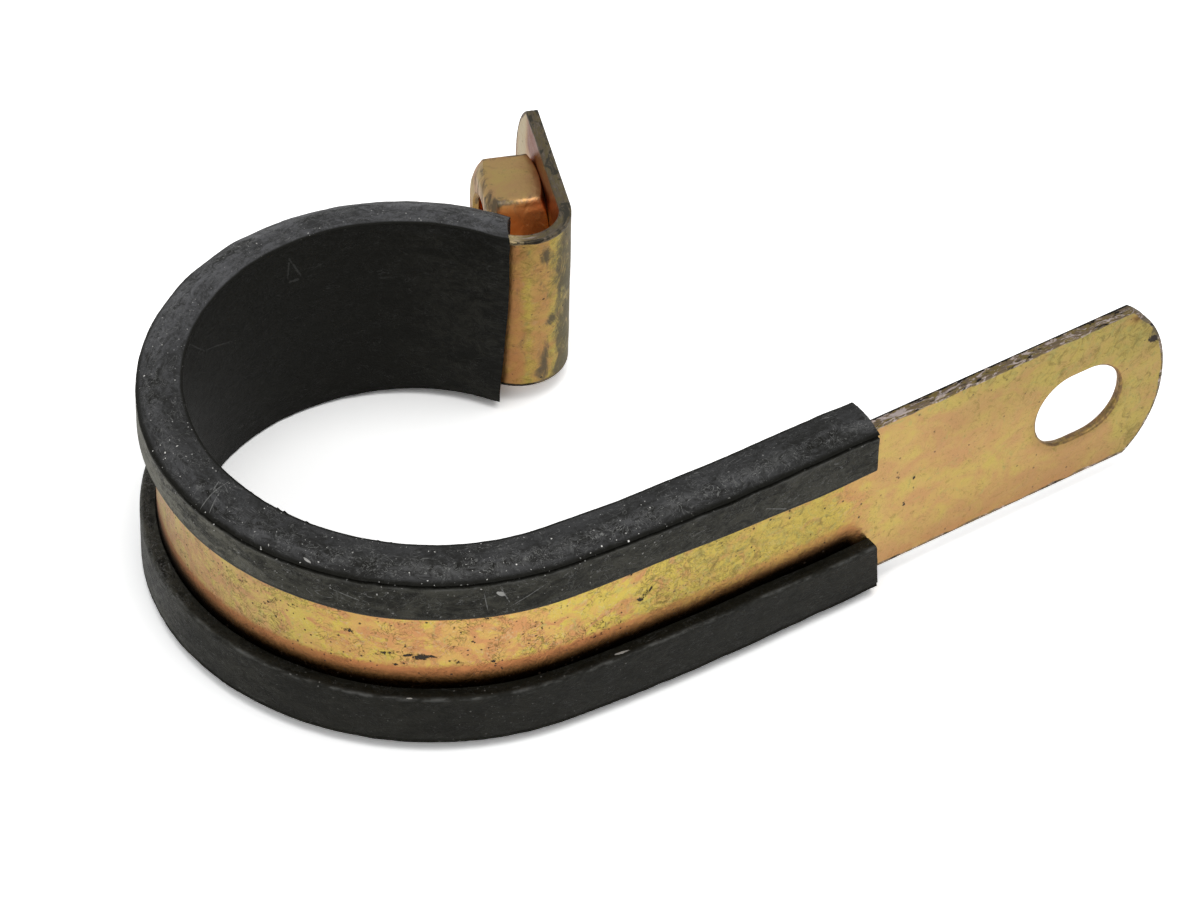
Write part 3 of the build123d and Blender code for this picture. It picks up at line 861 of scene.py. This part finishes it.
def buildStrip():
    # Blank in sheet coordinates, then bent. Each end is rings of points between its opening and the outline,
    # and the middle is a grid; both faces share one flat pattern, and walls close the cut edges.
    rounding = strip["edgeRounding"]
    slotRounding = strip["slotRounding"]
    outline, steps = endOutline()
    inner = outline - steps * rounding
    seam = np.linspace(-halfWidth + rounding, halfWidth - rounding, strip["columns"] + 1)
    seamPoints = np.stack((np.full(seam.size - 2, strip["ringLength"]), seam[1:-1]), -1)
    border = np.concatenate((inner, seamPoints))
    share = np.linspace(0, 1, strip["ringRows"] + 1)
    share = (0.45 * share + 0.55 * (1 - np.cos(np.pi * share)) / 2)[:, None, None]
    blocks = []
    faces = []
    count = 0
    facesDown = ((0.0, 0.0), (-thickness, strip["punchFlare"]))

    def addBlock(block, closeRows=False, closeColumns=False):
        nonlocal count
        faces.append(gridFaces(block.shape[0], block.shape[1], count, closeRows, closeColumns))
        blocks.append(block.reshape(-1, 3))
        count += block.shape[0] * block.shape[1]

    ends = ((1, 0.0, strip["slotInset"], strip["slotLength"]),
            (-1, lineLength, strip["holeInset"], strip["holeWidth"]))
    for sense, tipAlong, inset, length in ends:
        centre = np.array([inset, 0.0])
        direction = np.arctan2(border[:, 1], border[:, 0] - inset)
        reach = openingReach(direction, length, strip["slotWidth"])
        ray = np.stack((np.cos(direction), np.sin(direction)), -1)
        openingWall = centre + ray * reach[:, None]
        toSheet = np.array([sense, 1.0])
        shift = np.array([tipAlong, 0.0])
        for level, flare in facesDown:
            openingEdge = openingWall + ray * (slotRounding + flare)
            flat = (openingEdge + (border - openingEdge) * share) * toSheet + shift
            addBlock(np.concatenate((flat, np.full(flat.shape[:2] + (1,), level)), -1), closeColumns=True)
        opening = wallPoints(openingWall, -ray, slotRounding, 31 + sense, strip["punchFlare"])
        opening[..., :2] = opening[..., :2] * toSheet + shift
        addBlock(opening, closeRows=True)

    # The middle: rows from seam to seam
    firstRow = strip["ringLength"]
    lastRow = lineLength - strip["ringLength"]
    rowCount = int((lastRow - firstRow) / strip["rowStep"])
    rowsAlong = np.linspace(firstRow, lastRow, rowCount)
    gridAlong, gridAcross = np.meshgrid(rowsAlong, seam, indexing="ij")
    for level, flare in facesDown:
        addBlock(np.stack((gridAlong, gridAcross, np.full(gridAlong.shape, level)), -1))

    # One wall right round the blank
    across = np.full(rowCount - 2, halfWidth)
    sideStep = np.tile((0.0, 1.0), (rowCount - 2, 1))
    between = rowsAlong[1:-1]
    earOutline = outline[::-1] * (-1, 1) + (lineLength, 0)
    points = np.concatenate((outline, np.stack((between, -across), -1), earOutline,
                             np.stack((between[::-1], across), -1)))
    steps = np.concatenate((steps, -sideStep, steps[::-1] * (-1, 1), sideStep))
    addBlock(wallPoints(points, steps, rounding, 37), closeRows=True)

    sheet = np.concatenate(blocks)
    quads = np.concatenate(faces)
    along, across, out = sheet.T
    wave = strip["faceWave"] * ripples(along, across, 7.0, 5) * fade(edgeDistance(along, across), 0.0, 2.0)
    raised = sheet + np.stack((wave * 0, wave * 0, np.minimum(wave, 0)), -1)
    onWall = (out < -1e-6) & (out > -thickness + 1e-6)
    cutEdge = np.where(onWall, 1.0, np.clip(1 - (edgeDistance(along, across) - rounding) / 0.6, 0, 1))
    # The walls of the slot and of the hole kept their plating, and are darker and browner
    nearOpening = np.minimum(np.hypot(np.maximum(np.abs(along - strip["slotInset"]) - 0.8, 0), across),
                             np.hypot(lineLength - along - strip["holeInset"], across))
    layers = plateMarks(along, across, out)
    openingWall = (nearOpening < strip["openingReach"]) & onWall
    for layer, value in strip["openingWalls"].items():
        layers[layer] = np.where(openingWall, value, layers[layer])
    # The face is darker round the lower side of the slot
    slotRing = bell(nearOpening - 3.6, 0.45) * (along < 20) * (out > -0.5) * fade(-across, -2.0, 2.0)
    layers["grime"] = np.clip(layers["grime"] + 0.9 * slotRing, 0, 1.4)
    layers["cutEdge"] = np.where(nearOpening < strip["openingReach"] + 0.3, 0.45 * cutEdge, cutEdge)
    layers["sheet"] = sheet
    # The skin's coordinates run on round the cut edges: across at the sides, and along at each tip
    atTip = edgeDistance(along, 0 * across) < 0.3
    layers["skin"] = np.stack((along + np.where(atTip, out, 0), across - out, out * 0), -1)
    # The tab's end was cropped a little askew: its lower corner reaches further
    askew = strip["askew"] * fade(-across, -1.0, 7.0) * fall(along, 2.0, 12.0)
    raised[:, 0] = np.maximum(raised[:, 0] - askew, 0.0)
    addPiece("folded_strip", bendSheet(raised), quads.tolist(), layers, 60, "steel_strip",
             platingMaterial("yellowZincStrip", chips, strip["ember"]))


buildStrip()


# Hex nut, M6, seated on the ear's outer face.
nut = {
    "flats": 10.0,
    "height": 4.7,
    "mouthRadius": 3.05,
    "crestRadius": 2.5,
    "rootRadius": 3.0,
    "pitch": 1.0,
    "faceRadius": 4.4,
    "seatRadius": 4.95,        # the seat's own chamfer is smaller
    "chamferAngle": 30.0,
    "chamferStart": 0.006,     # how softly each chamfer starts
    "cornerRadius": 5.69,
    "cornerHold": 25,          # how sharply the hexagon's corners are held to that radius
    "crestFlat": 0.18,         # of the thread's half turn
    "flank": 0.68,
    "boreRows": 76,
    "turns": 240,              # points round the nut
    "ding": 0.05,
    "ember": (1.0, 0.36, 0.115),
}


def chamferFall(beyond):
    # How far a chamfered face has fallen: the distance beyond its flat ring, started softly, times the slope.
    started = (beyond + np.sqrt(beyond**2 + nut["chamferStart"])) / 2
    return started * math.tan(math.radians(nut["chamferAngle"]))


def buildNut():
    # For each angle round the axis one profile of (radius, height): up the threaded bore, out over the
    # outer face, down the side and back under. The side's radius is the hexagon's, softly held to the
    # corner radius, and beyond the face radius both faces fall away at the chamfer's angle.
    angle = np.linspace(0, math.tau, nut["turns"], endpoint=False)[:, None]
    height = nut["height"]
    fromFlat = (angle % (math.tau / 6)) - math.tau / 12
    hexagon = nut["flats"] / 2 / np.cos(fromFlat)
    hold = nut["cornerHold"]
    side = -np.log(np.exp(-hold * hexagon) + np.exp(-hold * nut["cornerRadius"])) / hold
    side = np.minimum(side, hexagon)

    # Thread: a triangle wave of height less turn, flattened at crest and root, opened by a cone at each mouth
    boreHeight = np.linspace(0, height, nut["boreRows"])[None, :]
    wave = np.abs(2 * ((boreHeight / nut["pitch"] - angle / math.tau) % 1) - 1)
    depth = np.clip((wave - nut["crestFlat"]) / nut["flank"], 0, 1) * (nut["rootRadius"] - nut["crestRadius"])
    mouth = np.maximum(nut["mouthRadius"] - boreHeight, nut["mouthRadius"] - (height - boreHeight))
    boreRadius = np.maximum(nut["crestRadius"] + depth, mouth)
    bore = np.stack((boreRadius, np.broadcast_to(boreHeight, boreRadius.shape)), -1)

    # Outer face, from the bore's mouth to the side's edge, with a soft start to the chamfer
    share = np.linspace(0, 1, 16)[None, 1:]
    faceRadius = nut["mouthRadius"] + (side - 0.05 - nut["mouthRadius"]) * share
    faceFall = chamferFall(faceRadius - nut["faceRadius"])
    face = np.stack((faceRadius, height - faceFall), -1)
    seatFall = chamferFall(faceRadius - nut["seatRadius"])
    # Down the side, with its two edges tucked in a little
    sideShare = np.array([[0.0, 0.03, 0.12, 0.35, 0.65, 0.88, 0.97, 1.0]])
    top = height - faceFall[:, -1:] - 0.05
    low = seatFall[:, -1:] + 0.05
    sideHeight = top + (low - top) * sideShare
    tuck = np.array([[0.018, 0.004, 0, 0, 0, 0, 0.004, 0.018]])
    sidePoints = np.stack((side - tuck, sideHeight), -1)
    under = np.stack((faceRadius, seatFall), -1)[:, ::-1]
    profile = np.concatenate((bore, face, sidePoints, under), 1)

    radius, rise = profile[..., 0], profile[..., 1]
    nutAlong = lineLength - strip["holeInset"]
    # A few dings on the corners
    dings = np.clip(ripples(angle * 5, rise * 2, 2.2, 41), 0, 1)
    radius = radius - nut["ding"] * fade(radius, 5.3, 5.6) * dings
    sheet = np.stack((nutAlong + radius * np.cos(angle), radius * np.sin(angle), rise), -1)
    faces = gridFaces(sheet.shape[0], sheet.shape[1], 0, closeRows=True, closeColumns=True)
    flatSheet = sheet.reshape(-1, 3)
    cornerWear = fade(radius, 5.35, 5.65).ravel() * 0.76
    none = np.zeros(len(flatSheet))
    upward = fade(np.sin(angle) + rise * 0, 0.80, 0.90).ravel()
    outerRing = fade(rise, 3.9, 4.3).ravel()
    aroundNut = np.broadcast_to(angle * nut["flats"] / 2, radius.shape).ravel()
    # A dark smear on the outer corner of the top flat
    smear = 0.55 * spot(angle, rise, (2 * math.tau / 6, 4.1), (0.13, 0.35)).ravel()
    stain = np.clip(0.22 + 0.28 * outerRing + smear + 0.28 * cornerWear, 0, 1)
    # Painted light: the flats that face up are paler. Painted reflection: the other flats, away from the outer
    # face, are orange
    layers = {"sheet": flatSheet, "skin": np.stack((aroundNut, (rise - radius).ravel(), none), -1),
              "cutEdge": cornerWear, "tint": none + 0.85, "shade": none, "gleam": none, "stain": stain,
              "ember": 0.78 * (1 - upward) * (1 - outerRing), "grime": none + 0.3, "pale": 0.30 * upward,
              "flaked": none, "calm": none + 1.0}
    addPiece("hex_nut_threaded", bendSheet(flatSheet), faces.tolist(), layers, 24, "hex_nut",
             platingMaterial("yellowZincNut", [], nut["ember"]))


buildNut()


# Floor, light and camera
stage = {
    "floorZ": -9.0,
    "floorSize": 6000.0,
    "floorWhite": 1.75,
    "mirrorNear": 1.45,        # painted light: the floor as the metal mirrors it, brighter in front of the loop
    "mirrorFar": 0.72,         # and away from it
    "mirrorCentre": (0.006, -0.032, -0.009),
    "mirrorReach": 0.050,
    "bounceWhite": 0.80,
    "worldLevel": 0.56,
    "cameraAim": (11.54, -5.96, 0.0),
    "cameraDistance": 471.4,
    "cameraAzimuth": -125.57,  # degrees from +X, of the camera seen from the clip
    "cameraElevation": 42.0,
    "cameraRoll": 1.73,
    "cameraLens": 183.58,
}


def sphereSpot(azimuth, elevation, distance):
    azimuth, elevation = math.radians(azimuth), math.radians(elevation)
    return Vector((math.cos(azimuth) * math.cos(elevation), math.sin(azimuth) * math.cos(elevation),
                   math.sin(elevation))) * distance * mm


def softLamp(name, azimuth, elevation, distance, size, power, colour):
    lamp = bpy.data.lights.new(name, "AREA")
    lamp.shape = "DISK"
    lamp.size = size * mm
    lamp.energy = power
    lamp.color = colour
    holder = bpy.data.objects.new(name, lamp)
    holder.location = sphereSpot(azimuth, elevation, distance)
    holder.rotation_euler = holder.location.to_track_quat("Z", "Y").to_euler()
    bpy.context.scene.collection.objects.link(holder)


def buildStage():
    reach = stage["floorSize"] * mm / 2
    level = stage["floorZ"] * mm
    mesh = bpy.data.meshes.new("floor")
    corners = [(-reach, -reach, level), (reach, -reach, level), (reach, reach, level), (-reach, reach, level)]
    mesh.from_pydata(corners, [], [(0, 1, 2, 3)])
    floor = bpy.data.objects.new("floor", mesh)
    bpy.context.scene.collection.objects.link(floor)
    n = Nodes("paleFloor")
    path = n.tree.nodes.new("ShaderNodeLightPath").outputs
    # Painted light: the metal mirrors a floor that is brighter in front of the loop and darker away from it
    place = n.add("TexCoord", {}, "Object")
    away = n.add("VectorMath", {0: place, 1: stage["mirrorCentre"]}, 1, operation="DISTANCE")
    near = n.ramp(away, 0.0, stage["mirrorReach"] * 2, 1.0, 0.0)
    mirrored = n.blend(near, [stage["mirrorFar"]] * 3, [stage["mirrorNear"]] * 3)
    mirroring = n.either(path["Is Glossy Ray"], path["Is Transmission Ray"])
    colour = n.blend(mirroring, [stage["bounceWhite"]] * 3, mirrored)
    colour = n.blend(path["Is Camera Ray"], colour, [stage["floorWhite"]] * 3)
    floor.data.materials.append(n.surface({"Base Color": colour, "Roughness": 1.0, "Specular IOR Level": 0.0}))

    world = bpy.data.worlds.new("paleRoom")
    world.use_nodes = True
    bpy.context.scene.world = world
    tree = world.node_tree
    background = tree.nodes["Background"]
    background.inputs["Color"].default_value = (0.97, 0.985, 1.0, 1.0)
    worldPath = tree.nodes.new("ShaderNodeLightPath").outputs
    lift = tree.nodes.new("ShaderNodeMapRange")
    lift.inputs["To Min"].default_value = stage["worldLevel"]
    lift.inputs["To Max"].default_value = 1.0
    tree.links.new(worldPath["Is Camera Ray"], lift.inputs["Value"])
    tree.links.new(lift.outputs[0], background.inputs["Strength"])

    softLamp("overheadLamp", -70.0, 80.0, 650.0, 620.0, 1.7, (1.0, 0.99, 0.97))
    softLamp("leftLamp", -150.0, 26.0, 560.0, 420.0, 0.5, (1.0, 0.985, 0.96))

    scene = bpy.context.scene
    scene.view_settings.view_transform = "Standard"
    back = sphereSpot(stage["cameraAzimuth"], stage["cameraElevation"], 1.0).normalized()
    side = Vector((0, 0, 1)).cross(back).normalized()
    rise = back.cross(side)
    roll = math.radians(stage["cameraRoll"])
    right = side * math.cos(roll) + rise * math.sin(roll)
    up = rise * math.cos(roll) - side * math.sin(roll)
    place = Vector(stage["cameraAim"]) * mm + back * stage["cameraDistance"] * mm
    lens = bpy.data.cameras.new("camera")
    lens.sensor_width = 36.0
    lens.lens = stage["cameraLens"]
    lens.clip_start = 0.01
    camera = bpy.data.objects.new("camera", lens)
    camera.matrix_world = Matrix((
        (right.x, up.x, back.x, place.x),
        (right.y, up.y, back.y, place.y),
        (right.z, up.z, back.z, place.z),
        (0, 0, 0, 1),
    ))
    scene.collection.objects.link(camera)
    scene.camera = camera
    print("stage: floor, lamps and camera are set")


buildStage()

bpy.context.view_layer.update()
